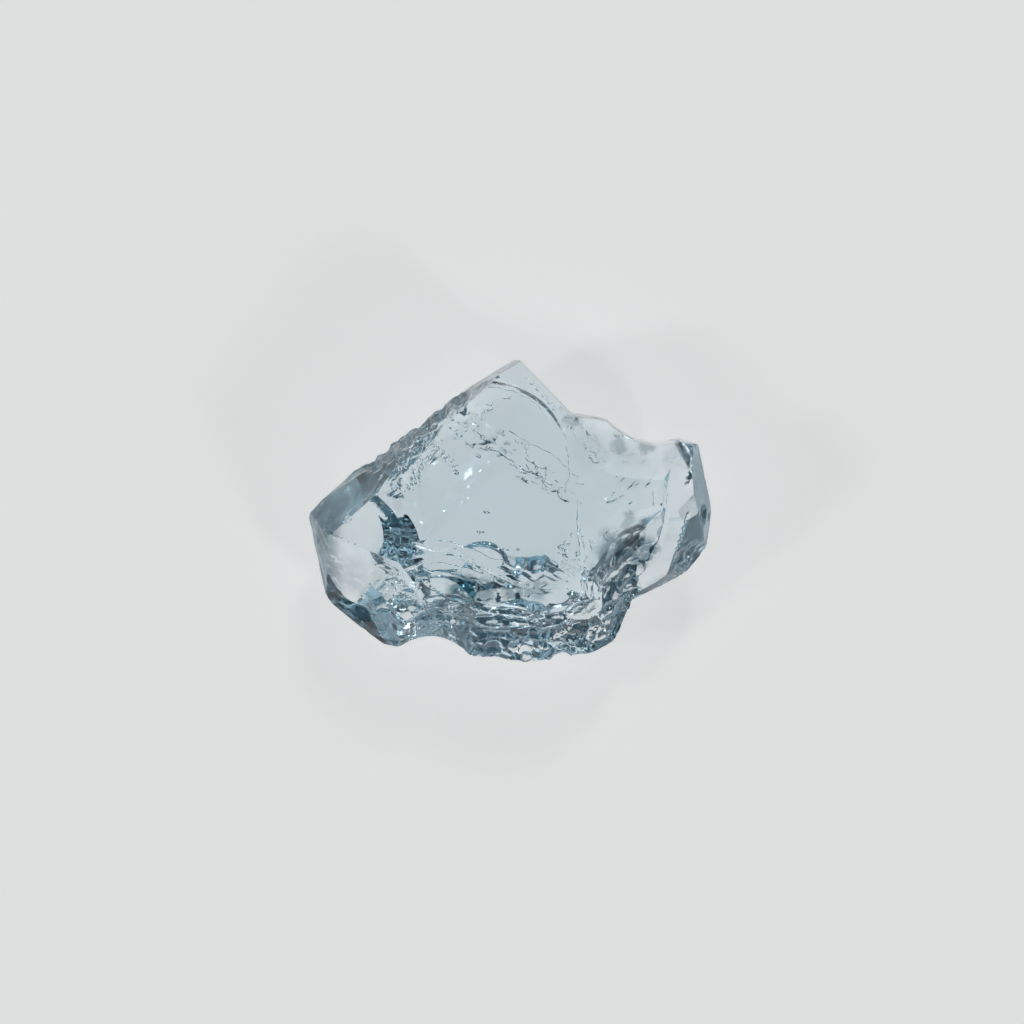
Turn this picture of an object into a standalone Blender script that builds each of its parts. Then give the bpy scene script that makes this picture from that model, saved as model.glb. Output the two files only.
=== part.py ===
"""Aquamarine fragment: one clear, broken crystal lying on its flat underside.

A single solid bounded by fracture surfaces: two broad flats on top with a curved step round the
peak, steep walls along the back, bevels round the other sides, a lower wing at the back right, a
scooped hollow at the right front, sloping facets and a curved step underneath, chips and ripples.
Metres, +Z up, origin at the middle of the footprint on the resting face.
"""
from math import acos
from math import atan2
from math import cos
from math import degrees
from math import pi
from math import radians
from math import sin

import bmesh
import bpy
import numpy as np

# ---- driving dimensions -------------------------------------------------------------------
LENGTH = 0.0201          # along X
WIDTH = 0.0152           # along Y
HEIGHT = 0.0077          # along Z
REST_BAND = 0.02         # mm, corners this close to the resting face lie in it
SUBDIVISIONS = 6
KEEP = 0.44              # share of the triangles kept where the faces are flat
SEED = 11

# The rays that find the surface start here (mm) and are spread to suit the flat body.
CORE = np.array((-0.3, -0.6, 2.4))
SPREAD = np.array((10.0, 7.6, 4.0))

# ---- fracture surfaces, in mm and degrees -----------------------------------------------------
# The body is five overlapping lobes joined into one: m middle, p peak, l left, w wing, b right block.
# name, point on it, azimuth, tilt from +Z, hollow radius along, hollow radius across, its lobes
# A radius of 0 is flat and a negative one bulges.
LOBES = "mplwb"
FLATS = (
    ("table_left", (-2.05, -0.60, 7.60), 205, 2, 0, 0, "mplb"),
    ("table_right", (2.45, 1.90, 7.45), 20, 4.5, 0, 0, "mplb"),
    ("left_flat", (-5.45, -0.10, 7.45), 182, 16, 60, 60, "mplb"),
    ("table_low", (-1.55, -2.85, 7.45), 250, 26, 14, 14, "mplb"),
    ("peak_step", (1.85, 4.85, 7.00), 43, 72, -3.9, 0, "ml"),
    ("peak_slope", (2.70, 1.50, 7.42), 72, 10, 0, 0, "p"),
    ("peak_flank", (4.20, 2.90, 6.60), 38, 48, 3.3, 0, "mplb"),
    ("block_front", (7.60, -0.60, 6.20), -5, 72, 0, 0, "b"),
    ("left_lobe_end", (0.50, 0.00, 4.00), 0, 90, 0, 0, "l"),
    ("block_end", (5.00, 2.60, 4.00), 95, 90, 0, 0, "b"),
    ("wing_slope", (5.45, 1.90, 6.30), 72, 22, 0, 0, "w"),
    ("wing_side", (8.60, -0.60, 6.50), -2, 28, 0, 0, "w"),
    ("ledge", (7.85, 0.40, 7.10), -105, 34, 0, 0, "w"),
    ("scoop", (4.75, -1.90, 6.60), -36, 52, 5.0, 12.0, "mplb"),
    ("rest", (0.0, 0.0, 0.0), 0, 180, 0, 0, "mplwb"),
    ("under_step", (-4.95, -0.60, 0.75), 184, 128, 4.0, 0, "mpwb"),
    ("under_back_left", (-2.40, 0.20, 0.00), 134, 148, 0, 0, "mplwb"),
    ("under_left", (-6.35, -0.60, 2.25), 150, 156, 40, 30, "l"),
    ("under_front", (-0.30, -3.60, 1.00), 264, 147, 40, 0, "mplwb"),
    ("under_right", (3.00, -0.30, 0.00), -36, 154, 0, -60, "mplwb"),
    ("under_wing", (5.05, 0.40, 0.00), 76, 164, 0, 0, "mplwb"),
    ("wing_end_left", (-1.55, 0.40, 4.00), 180, 90, 0, 0, "wb"),
    ("wing_end_front", (2.45, -3.85, 4.00), -110, 90, 0, 0, "wb"),
)

# Rim stretches, clockwise seen from above: name, start, end, height of the rim,
# tilt of the bevel over it, slope of the bevel under it, hollow radius of the upper one, lobes
RIM = (
    ("left_end", (-9.45, -3.60), (-10.00, -1.10), 3.6, 72, 46, 0, "mpl"),
    ("left_tip", (-10.10, -0.30), (-8.65, 1.30), 4.0, 58, 74, 0, "mpl"),
    ("back_left", (-8.65, 1.35), (-5.45, 3.65), 3.6, 83, 80, 0, "mpl"),
    ("back_crest", (-5.55, 3.64), (-2.50, 6.00), 3.2, 78, 84, 0, "mpl"),
    ("peak_left", (-2.80, 5.95), (-0.25, 7.45), 1.6, 83, 80, 0, "mpl"),
    ("peak_tip", (-0.15, 7.60), (0.55, 7.55), 1.4, 86, 80, 0, "mpl"),
    ("peak_right", (0.95, 7.08), (3.05, 4.90), 1.4, 87, 80, 0, "mpl"),
    ("front_right", (5.85, -5.20), (5.20, -6.60), 3.6, 60, 60, 0, "mpl"),
    ("front_corner", (5.20, -6.60), (4.30, -7.20), 3.5, 56, 60, 0, "mpl"),
    ("front_lump", (4.30, -7.20), (2.95, -7.45), 3.4, 50, 58, 0, "mpl"),
    ("front", (1.70, -7.75), (0.20, -7.85), 3.4, 50, 78, 0, "mpl"),
    ("front_left", (0.20, -7.85), (-5.80, -6.95), 3.4, 49, 78, 0, "mpl"),
    ("left_front", (-6.05, -7.08), (-8.55, -5.35), 3.2, 47, 48, 0, "mpl"),
    ("left_corner", (-8.50, -5.25), (-9.30, -4.55), 3.4, 52, 46, 0, "mpl"),
    ("wing_back", (3.15, 4.85), (4.45, 4.65), 1.6, 85, 80, 0, "wb"),
    ("wing_edge", (4.45, 4.65), (9.30, 3.40), 1.8, 85, 80, 0, "wb"),
    ("wing_corner", (9.30, 3.40), (9.50, 2.60), 4.0, 70, 64, 0, "wb"),
    ("right_back", (9.50, 2.60), (10.05, -0.10), 3.9, 70, 64, 0, "wb"),
    ("right", (10.08, -0.10), (9.75, -2.20), 3.6, 74, 60, 0, "wb"),
    ("right_corner", (9.65, -2.20), (8.85, -3.10), 3.6, 58, 60, 0, "wb"),
    ("right_front", (8.85, -3.22), (6.45, -4.42), 3.4, 72, 58, 0, "wb"),
)

# Bites out of the rim: point, azimuth, upper tilt, lower slope, radius, lobes
BITES = (
    ((-3.70, -6.45, 3.4), -98, 50, 70, 2.4, "mpl"),
    ((2.55, -7.30, 3.4), -86, 60, 60, 0.7, "mpl"),
    ((6.55, 3.50, 1.8), 75.5, 85, 80, 3.0, "wb"),
)

# Chips and pits: point, azimuth, tilt, radius of the scoop along and across its slope
CHIPS = (
    ((-8.35, 1.55, 4.70), 132, 40, 1.2, 0.6),
    ((-6.90, 2.45, 5.10), 118, 46, 0.5, 0.9),
    ((-5.70, 3.25, 5.40), 136, 50, 0.8, 0.5),
    ((-4.85, 3.95, 5.30), 118, 56, 0.4, 0.8),
    ((-4.15, 4.50, 5.70), 140, 52, 0.5, 0.9),
    ((-3.30, 5.10, 5.90), 120, 56, 0.9, 0.5),
    ((-2.45, 5.75, 5.90), 135, 58, 0.4, 0.6),
    ((-1.75, 6.20, 6.10), 110, 55, 0.7, 0.5),
    ((-9.55, -2.20, 4.40), 186, 55, 1.4, 0.8),
    ((-8.90, -4.20, 4.30), 214, 50, 0.7, 1.1),
    ((-7.60, -5.30, 4.05), 228, 45, 1.3, 0.7),
    ((-6.60, -5.95, 3.95), 240, 48, 0.6, 0.9),
    ((-5.35, -6.25, 4.10), 262, 42, 1.1, 0.6),
    ((-4.70, -5.10, 5.10), 236, 30, 1.9, 1.0),
    ((-6.30, -3.90, 5.55), 224, 30, 1.2, 2.1),
    ((-2.20, -6.35, 4.45), 256, 48, 1.6, 0.8),
    ((-0.90, -6.80, 4.15), 268, 55, 0.7, 1.1),
    ((0.60, -6.85, 4.15), 272, 40, 1.3, 0.7),
    ((1.60, -6.70, 4.35), 290, 50, 0.6, 1.0),
    ((2.60, -6.10, 4.80), 262, 40, 1.5, 0.8),
    ((3.60, -6.45, 4.35), 300, 52, 0.6, 1.0),
    ((4.55, -6.30, 4.30), 285, 40, 0.9, 0.5),
    ((4.95, -5.55, 4.55), 320, 52, 0.6, 1.0),
    ((5.25, -4.65, 4.85), 300, 46, 1.1, 0.6),
    ((3.80, -4.90, 5.55), 285, 38, 1.6, 0.8),
    ((6.05, -3.90, 4.65), 315, 55, 0.5, 0.9),
    ((9.20, -1.90, 4.70), -18, 48, 0.9, 0.5),
    ((8.70, -2.60, 4.45), -44, 50, 0.5, 0.9),
    ((9.45, -0.60, 4.85), 8, 50, 1.0, 0.6),
    ((8.75, 2.85, 5.10), 40, 52, 0.9, 0.5),
    ((-2.30, -4.00, 0.75), 262, 128, 1.5, 0.9),
    ((-3.50, -4.90, 1.50), 250, 126, 1.1, 0.8),
    ((-0.20, -2.45, 0.45), 205, 130, 0.9, 0.5),
)

# Ripples that spread from where a surface was struck: surface, strike point, spacing, height
RIPPLES = (
    ("front_over", (0.9, -8.2, 3.0), 0.95, 0.040),
    ("front_left_over", (-1.6, -8.4, 2.8), 1.15, 0.040),
    ("left_front_over", (-8.0, -6.6, 2.6), 1.50, 0.040),
    ("scoop", (6.3, -4.4, 3.4), 0.95, 0.030),
    ("left_tip_over", (-8.9, 2.0, 3.6), 0.90, 0.015),
    ("under_front", (-0.4, -8.0, 3.2), 1.30, 0.018),
    ("under_right", (7.8, -4.0, 2.8), 1.10, 0.014),
    ("under_left", (-10.4, -2.8, 3.2), 1.30, 0.040),
    ("left_end_over", (-10.2, -3.4, 3.4), 0.80, 0.030),
)

# Small nicks all round the rim: how many, radius, depth and height above the resting face
NICKS = 34
NICK_RADIUS = (0.35, 0.75)
NICK_DEPTH = (0.03, 0.10)
NICK_HEIGHT = (3.2, 4.6)

# ---- colour --------------------------------------------------------------------------------
CRYSTAL_COLOUR = (0.62, 0.74, 0.80, 1.0)
CRYSTAL_ROUGHNESS = 0.04
CRYSTAL_IOR = 1.577


class Surface:
    """One fracture surface: a plane through `at`, hollowed along and across its slope."""

    def __init__(self, name, at, azimuth, tilt, along, across, lobe):
        a = radians(azimuth)
        t = radians(tilt)
        self.name = name
        self.lobe = lobe
        self.at = np.array(at, float) - CORE
        self.normal = np.array((sin(t) * cos(a), sin(t) * sin(a), cos(t)))
        level = np.array((-sin(a), cos(a), 0.0))
        slope = np.cross(self.normal, level)
        self.bend = bend(along) * np.outer(level, level) + bend(across) * np.outer(slope, slope)


def bend(radius):
    """Curvature of a radius, where 0 stands for flat."""
    return 1.0 / radius if radius else 0.0


def rim_surfaces():
    """The bevels over and under every stretch of the rim."""
    made = []
    for name, start, end, height, over, under, hollow, lobe in RIM:
        azimuth = degrees(atan2(end[0] - start[0], start[1] - end[1]))
        middle = ((start[0] + end[0]) / 2, (start[1] + end[1]) / 2, height)
        made.append(Surface(name + "_over", middle, azimuth, over, hollow, 0, lobe))
        made.append(Surface(name + "_under", middle, azimuth, 180 - under, 0, 0, lobe))
    return made


def bite_surfaces():
    """Two hollow bevels for every bite."""
    made = []
    for at, azimuth, over, under, radius, lobe in BITES:
        made.append(Surface("bite_over", at, azimuth, over, radius, 0, lobe))
        made.append(Surface("bite_under", at, azimuth, 180 - under, radius, 0, lobe))
    return made


def nick_surfaces(body):
    """Small scoops scattered along the rim of the body."""
    rng = np.random.default_rng(SEED)
    made = []
    for step in range(NICKS):
        turn = 2 * pi * (step + rng.uniform(0, 0.8)) / NICKS
        height = rng.uniform(*NICK_HEIGHT)
        ray = unit(np.array([[cos(turn) * SPREAD[0], sin(turn) * SPREAD[1], height - CORE[2]]]))
        reach, owner = solve(body, ray)
        outward = body[owner[0]].normal
        facing = degrees(atan2(outward[1], outward[0])) + rng.uniform(-20, 20)
        tilt = degrees(acos(outward[2])) + rng.uniform(-16, 16)
        radius = rng.uniform(*NICK_RADIUS)
        at = CORE + ray[0] * (reach[0] - rng.uniform(*NICK_DEPTH))
        made.append(Surface("nick", at, facing, tilt, radius, radius, LOBES))
    return made


def all_surfaces():
    body = [Surface(*row) for row in FLATS] + rim_surfaces() + bite_surfaces()
    chips = [Surface("chip", *row, LOBES) for row in CHIPS]
    return body + chips + nick_surfaces(body)


def unit(vectors):
    return vectors / np.linalg.norm(vectors, axis=-1, keepdims=True)


def ripple(offset, spacing):
    """A soft saw-edged wave that wavers and fades from place to place."""
    x, y, z = offset.T
    distance = np.linalg.norm(offset, axis=1) / spacing
    waver = 0.3 * np.sin(1.3 * distance) + 0.16 * np.sin(1.9 * x) + 0.13 * np.sin(2.7 * y + z)
    turn = 2 * pi * (distance + waver)
    strength = 0.55 + 0.45 * np.sin(1.1 * x + 0.6) * np.sin(1.4 * y - 0.5 * z)
    return strength * np.sin(turn + 0.7 * np.sin(turn))


def reaches(surfaces, rays):
    """How far each ray runs from the core to each surface."""
    normal = np.array([s.normal for s in surfaces])
    at = np.array([s.at for s in surfaces])
    bends = np.array([s.bend for s in surfaces])
    bent_at = np.einsum("fij,fj->fi", bends, at)
    facing = rays @ normal.T
    a = 0.5 * np.einsum("fij,vi,vj->vf", bends, rays, rays, optimize=True)
    b = -(rays @ bent_at.T) - facing
    c = (0.5 * np.einsum("fi,fi->f", at, bent_at) + np.einsum("fi,fi->f", normal, at))[None, :]
    square = b * b - 4 * a * c
    below = np.sqrt(np.maximum(square, 0)) - b
    missed = (square < 0) | (below <= 1e-9) | (c <= 0)
    reach = 2 * c / np.where(missed, 1.0, below)
    reach[missed] = 1000.0
    for name, strike, spacing, height in RIPPLES:
        for column, surface in enumerate(surfaces):
            if surface.name == name:
                near = np.minimum(reach[:, column], 30.0)
                offset = rays * near[:, None] + CORE - np.array(strike)
                wave = height * ripple(offset, spacing)
                reach[:, column] += wave / np.maximum(facing[:, column], 0.4)
    return reach


def solve(surfaces, rays):
    """Distance to the body's skin along each ray, and the surface that it lies on."""
    reach = reaches(surfaces, rays)
    rows = np.arange(len(rays))
    best = np.full(len(rays), -1.0)
    label = np.zeros(len(rays), int)
    for lobe in LOBES:
        bounding = np.array([lobe in s.lobe for s in surfaces])
        inside = np.where(bounding[None, :], reach, 1000.0)
        first = inside.argmin(1)
        low = inside[rows, first]
        farther = low > best
        label = np.where(farther, first, label)
        best = np.where(farther, low, best)
    return best, label


def snap_to_ridges(surfaces, rays, tris):
    """Moves the ray nearest to each ridge onto it, so ridges come out sharp."""
    label = solve(surfaces, rays)[1]
    sides = np.concatenate([tris[:, [0, 1]], tris[:, [1, 2]], tris[:, [2, 0]]])
    edges = np.unique(np.sort(sides, axis=1), axis=0)
    mixed = edges[label[edges[:, 0]] != label[edges[:, 1]]]
    start = rays[mixed[:, 0]]
    end = rays[mixed[:, 1]]
    low = np.zeros(len(mixed))
    high = np.ones(len(mixed))
    for _ in range(12):
        middle = (low + high) / 2
        same = solve(surfaces, unit(start + (end - start) * middle[:, None]))[1] == label[mixed[:, 0]]
        low = np.where(same, middle, low)
        high = np.where(same, high, middle)
    share = (low + high) / 2
    ridge = unit(start + (end - start) * share[:, None])
    nearest = np.where(share < 0.5, mixed[:, 0], mixed[:, 1])
    order = np.argsort(-np.minimum(share, 1 - share))
    moved = rays.copy()
    moved[nearest[order]] = ridge[order]
    return moved


def sphere():
    """Corners and triangles of an even ball."""
    ball = bmesh.new()
    bmesh.ops.create_icosphere(ball, subdivisions=SUBDIVISIONS, radius=1.0)
    points = np.array([v.co[:] for v in ball.verts])
    tris = np.array([[v.index for v in f.verts] for f in ball.faces])
    ball.free()
    return points, tris


def fit_to_box(points):
    """Metres, resting face at z = 0, footprint centred, overall size as stated."""
    low = points.min(0)
    high = points.max(0)
    middle = np.array(((low[0] + high[0]) / 2, (low[1] + high[1]) / 2, low[2]))
    return (points - middle) * np.array((LENGTH, WIDTH, HEIGHT)) / (high - low)


def thin_out(obj):
    """Fewer triangles on the flats, and a truly flat resting face."""
    modifier = obj.modifiers.new("thin_out", "DECIMATE")
    modifier.ratio = KEEP
    graph = bpy.context.evaluated_depsgraph_get()
    thinned = bpy.data.meshes.new_from_object(obj.evaluated_get(graph))
    obj.modifiers.remove(modifier)
    old = obj.data
    obj.data = thinned
    bpy.data.meshes.remove(old)
    thinned.name = obj.name
    for vertex in thinned.vertices:
        if vertex.co.z < REST_BAND * 0.001:
            vertex.co.z = 0.0


def crystal_material():
    material = bpy.data.materials.new("aquamarine")
    material.use_nodes = True
    shader = material.node_tree.nodes["Principled BSDF"]
    shader.inputs["Base Color"].default_value = CRYSTAL_COLOUR
    shader.inputs["Roughness"].default_value = CRYSTAL_ROUGHNESS
    shader.inputs["Metallic"].default_value = 0.0
    shader.inputs["IOR"].default_value = CRYSTAL_IOR
    shader.inputs["Transmission Weight"].default_value = 1.0
    return material


def build():
    for obj in list(bpy.data.objects):
        bpy.data.objects.remove(obj, do_unlink=True)
    surfaces = all_surfaces()
    points, tris = sphere()
    rays = snap_to_ridges(surfaces, unit(unit(points) * SPREAD), tris)
    skin = fit_to_box(rays * solve(surfaces, rays)[0][:, None] + CORE)
    mesh = bpy.data.meshes.new("aquamarine")
    mesh.from_pydata(skin.tolist(), [], tris.tolist())
    crystal = bpy.data.objects.new("aquamarine", mesh)
    bpy.context.scene.collection.objects.link(crystal)
    thin_out(crystal)
    crystal.data.materials.clear()
    crystal.data.materials.append(crystal_material())
    crystal.data.shade_smooth()
    crystal.data.set_sharp_from_angle(angle=radians(18))
    return crystal


build()
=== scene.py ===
"""Dressed scene of the aquamarine fragment: the same fracture surfaces as the solid, with chips,
hackles, ripples and hairlines, in clear pale-blue beryl on a pale lit table."""
from math import acos, atan2, cos, degrees, pi, radians, sin

import bmesh
import bpy
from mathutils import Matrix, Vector
from mathutils.kdtree import KDTree
import numpy as np


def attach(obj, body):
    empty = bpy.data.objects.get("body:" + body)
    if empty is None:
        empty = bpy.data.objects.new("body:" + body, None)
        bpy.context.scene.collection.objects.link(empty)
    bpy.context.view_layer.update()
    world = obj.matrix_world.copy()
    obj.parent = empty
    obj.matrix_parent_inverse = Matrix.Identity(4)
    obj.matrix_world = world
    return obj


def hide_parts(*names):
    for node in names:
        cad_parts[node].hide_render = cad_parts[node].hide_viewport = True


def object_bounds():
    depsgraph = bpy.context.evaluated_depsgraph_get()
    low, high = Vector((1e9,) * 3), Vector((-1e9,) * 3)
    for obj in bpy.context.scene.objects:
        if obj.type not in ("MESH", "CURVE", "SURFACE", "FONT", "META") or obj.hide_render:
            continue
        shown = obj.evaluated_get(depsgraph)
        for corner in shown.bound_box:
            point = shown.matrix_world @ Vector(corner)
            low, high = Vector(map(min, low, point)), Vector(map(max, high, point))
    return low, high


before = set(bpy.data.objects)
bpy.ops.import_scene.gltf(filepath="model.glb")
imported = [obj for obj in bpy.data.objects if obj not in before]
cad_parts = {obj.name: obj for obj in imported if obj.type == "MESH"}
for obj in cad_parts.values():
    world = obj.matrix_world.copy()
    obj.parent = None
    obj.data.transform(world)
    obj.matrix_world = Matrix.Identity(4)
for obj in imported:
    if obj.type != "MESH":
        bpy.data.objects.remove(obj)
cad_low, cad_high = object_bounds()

# ---- the fragment, in mm and degrees, as in the solid ------------------------------------------
SUBDIVISIONS = 6           # of the sphere of rays at the start
REFINEMENTS = 5            # rounds of splitting long edges at most
PLAIN_EDGE = 0.30          # longest edge on plain stretches
CELL_SHARE = 0.30          # longest edge in a hackle, as a share of its cell
LINE_EDGE = 0.060          # longest edge along a drawn line
LINE_REACH = 0.09          # how far the fine edges go to each side of a line
SHARP_ANGLE = 17           # edges bent by more than this stay sharp
SEED = 11
CORE = np.array((-0.3, -0.6, 2.4))      # a point well inside, from which all rays run
SPREAD = np.array((10.0, 7.6, 4.0))     # stretch of the sphere of rays

# ---- fracture surfaces, in mm and degrees -----------------------------------------------------
# The body is five overlapping lobes joined into one: m middle, p peak, l left, w wing, b right block.
# name, point on it, azimuth, tilt from +Z, hollow radius along, hollow radius across, its lobes
# A radius of 0 is flat and a negative one bulges.
LOBES = "mplwb"
FLATS = (
    ("table_left", (-2.05, -0.60, 7.60), 205, 2, 0, 0, "mplb"),
    ("table_right", (2.45, 1.90, 7.45), 20, 4.5, 0, 0, "mplb"),
    ("left_flat", (-5.45, -0.10, 7.45), 182, 16, 60, 60, "mplb"),
    ("table_low", (-1.55, -2.85, 7.45), 250, 26, 14, 14, "mplb"),
    ("peak_step", (1.85, 4.85, 7.00), 43, 72, -3.9, 0, "ml"),
    ("peak_slope", (2.70, 1.50, 7.42), 72, 10, 0, 0, "p"),
    ("peak_flank", (4.20, 2.90, 6.60), 38, 48, 3.3, 0, "mplb"),
    ("block_front", (7.60, -0.60, 6.20), -5, 72, 0, 0, "b"),
    ("left_lobe_end", (0.50, 0.00, 4.00), 0, 90, 0, 0, "l"),
    ("block_end", (5.00, 2.60, 4.00), 95, 90, 0, 0, "b"),
    ("wing_slope", (5.45, 1.90, 6.30), 72, 22, 0, 0, "w"),
    ("wing_side", (8.60, -0.60, 6.50), -2, 28, 0, 0, "w"),
    ("ledge", (7.85, 0.40, 7.10), -105, 34, 0, 0, "w"),
    ("scoop", (4.75, -1.90, 6.60), -36, 52, 5.0, 12.0, "mplb"),
    ("rest", (0.0, 0.0, 0.0), 0, 180, 0, 0, "mplwb"),
    ("under_step", (-4.95, -0.60, 0.75), 184, 128, 4.0, 0, "mpwb"),
    ("under_back_left", (-2.40, 0.20, 0.00), 134, 148, 0, 0, "mplwb"),
    ("under_left", (-6.35, -0.60, 2.25), 150, 156, 40, 30, "l"),
    ("under_front", (-0.30, -3.60, 1.00), 264, 147, 40, 0, "mplwb"),
    ("under_right", (3.00, -0.30, 0.00), -36, 154, 0, -60, "mplwb"),
    ("under_wing", (5.05, 0.40, 0.00), 76, 164, 0, 0, "mplwb"),
    ("wing_end_left", (-1.55, 0.40, 4.00), 180, 90, 0, 0, "wb"),
    ("wing_end_front", (2.45, -3.85, 4.00), -110, 90, 0, 0, "wb"),
)

# Rim stretches, clockwise seen from above: name, start, end, height of the rim,
# tilt of the bevel over it, slope of the bevel under it, hollow radius of the upper one, lobes
RIM = (
    ("left_end", (-9.45, -3.60), (-10.00, -1.10), 3.6, 72, 46, 0, "mpl"),
    ("left_tip", (-10.10, -0.30), (-8.65, 1.30), 4.0, 58, 74, 0, "mpl"),
    ("back_left", (-8.65, 1.35), (-5.45, 3.65), 3.6, 83, 80, 0, "mpl"),
    ("back_crest", (-5.55, 3.64), (-2.50, 6.00), 3.2, 78, 84, 0, "mpl"),
    ("peak_left", (-2.80, 5.95), (-0.25, 7.45), 1.6, 83, 80, 0, "mpl"),
    ("peak_tip", (-0.15, 7.60), (0.55, 7.55), 1.4, 86, 80, 0, "mpl"),
    ("peak_right", (0.95, 7.08), (3.05, 4.90), 1.4, 87, 80, 0, "mpl"),
    ("front_right", (5.85, -5.20), (5.20, -6.60), 3.6, 60, 60, 0, "mpl"),
    ("front_corner", (5.20, -6.60), (4.30, -7.20), 3.5, 56, 60, 0, "mpl"),
    ("front_lump", (4.30, -7.20), (2.95, -7.45), 3.4, 50, 58, 0, "mpl"),
    ("front", (1.70, -7.75), (0.20, -7.85), 3.4, 50, 78, 0, "mpl"),
    ("front_left", (0.20, -7.85), (-5.80, -6.95), 3.4, 49, 78, 0, "mpl"),
    ("left_front", (-6.05, -7.08), (-8.55, -5.35), 3.2, 47, 48, 0, "mpl"),
    ("left_corner", (-8.50, -5.25), (-9.30, -4.55), 3.4, 52, 46, 0, "mpl"),
    ("wing_back", (3.15, 4.85), (4.45, 4.65), 1.6, 85, 80, 0, "wb"),
    ("wing_edge", (4.45, 4.65), (9.30, 3.40), 1.8, 85, 80, 0, "wb"),
    ("wing_corner", (9.30, 3.40), (9.50, 2.60), 4.0, 70, 64, 0, "wb"),
    ("right_back", (9.50, 2.60), (10.05, -0.10), 3.9, 70, 64, 0, "wb"),
    ("right", (10.08, -0.10), (9.75, -2.20), 3.6, 74, 60, 0, "wb"),
    ("right_corner", (9.65, -2.20), (8.85, -3.10), 3.6, 58, 60, 0, "wb"),
    ("right_front", (8.85, -3.22), (6.45, -4.42), 3.4, 72, 58, 0, "wb"),
)

# Bites out of the rim: point, azimuth, upper tilt, lower slope, radius, lobes
BITES = (
    ((-3.70, -6.45, 3.4), -98, 50, 70, 2.4, "mpl"),
    ((2.55, -7.30, 3.4), -86, 60, 60, 0.7, "mpl"),
    ((6.55, 3.50, 1.8), 75.5, 85, 80, 3.0, "wb"),
)

# Chips and pits: point, azimuth, tilt, radius of the scoop along and across its slope
CHIPS = (
    ((-8.35, 1.55, 4.70), 132, 40, 1.2, 0.6),
    ((-6.90, 2.45, 5.10), 118, 46, 0.5, 0.9),
    ((-5.70, 3.25, 5.40), 136, 50, 0.8, 0.5),
    ((-4.85, 3.95, 5.30), 118, 56, 0.4, 0.8),
    ((-4.15, 4.50, 5.70), 140, 52, 0.5, 0.9),
    ((-3.30, 5.10, 5.90), 120, 56, 0.9, 0.5),
    ((-2.45, 5.75, 5.90), 135, 58, 0.4, 0.6),
    ((-1.75, 6.20, 6.10), 110, 55, 0.7, 0.5),
    ((-9.55, -2.20, 4.40), 186, 55, 1.4, 0.8),
    ((-8.90, -4.20, 4.30), 214, 50, 0.7, 1.1),
    ((-7.60, -5.30, 4.05), 228, 45, 1.3, 0.7),
    ((-6.60, -5.95, 3.95), 240, 48, 0.6, 0.9),
    ((-5.35, -6.25, 4.10), 262, 42, 1.1, 0.6),
    ((-4.70, -5.10, 5.10), 236, 30, 1.9, 1.0),
    ((-6.30, -3.90, 5.55), 224, 30, 1.2, 2.1),
    ((-2.20, -6.35, 4.45), 256, 48, 1.6, 0.8),
    ((-0.90, -6.80, 4.15), 268, 55, 0.7, 1.1),
    ((0.60, -6.85, 4.15), 272, 40, 1.3, 0.7),
    ((1.60, -6.70, 4.35), 290, 50, 0.6, 1.0),
    ((2.60, -6.10, 4.80), 262, 40, 1.5, 0.8),
    ((3.60, -6.45, 4.35), 300, 52, 0.6, 1.0),
    ((4.55, -6.30, 4.30), 285, 40, 0.9, 0.5),
    ((4.95, -5.55, 4.55), 320, 52, 0.6, 1.0),
    ((5.25, -4.65, 4.85), 300, 46, 1.1, 0.6),
    ((3.80, -4.90, 5.55), 285, 38, 1.6, 0.8),
    ((6.05, -3.90, 4.65), 315, 55, 0.5, 0.9),
    ((9.20, -1.90, 4.70), -18, 48, 0.9, 0.5),
    ((8.70, -2.60, 4.45), -44, 50, 0.5, 0.9),
    ((9.45, -0.60, 4.85), 8, 50, 1.0, 0.6),
    ((8.75, 2.85, 5.10), 40, 52, 0.9, 0.5),
    ((-2.30, -4.00, 0.75), 262, 128, 1.5, 0.9),
    ((-3.50, -4.90, 1.50), 250, 126, 1.1, 0.8),
    ((-0.20, -2.45, 0.45), 205, 130, 0.9, 0.5),
)

# Ripples that spread from where a surface was struck: surface, strike point, spacing, height
RIPPLES = (
    ("front_over", (0.9, -8.2, 3.0), 0.95, 0.040),
    ("front_left_over", (-1.6, -8.4, 2.8), 1.15, 0.040),
    ("left_front_over", (-8.0, -6.6, 2.6), 1.50, 0.040),
    ("scoop", (6.3, -4.4, 3.4), 0.95, 0.030),
    ("left_tip_over", (-8.9, 2.0, 3.6), 0.90, 0.015),
    ("under_front", (-0.4, -8.0, 3.2), 1.30, 0.018),
    ("under_right", (7.8, -4.0, 2.8), 1.10, 0.014),
    ("under_left", (-10.4, -2.8, 3.2), 1.30, 0.040),
    ("left_end_over", (-10.2, -3.4, 3.4), 0.80, 0.030),
)

# Small nicks all round the rim: how many, radius, depth and height above the resting face
NICKS = 34
NICK_RADIUS = (0.35, 0.75)
NICK_DEPTH = (0.03, 0.10)
NICK_HEIGHT = (3.2, 4.6)

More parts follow.
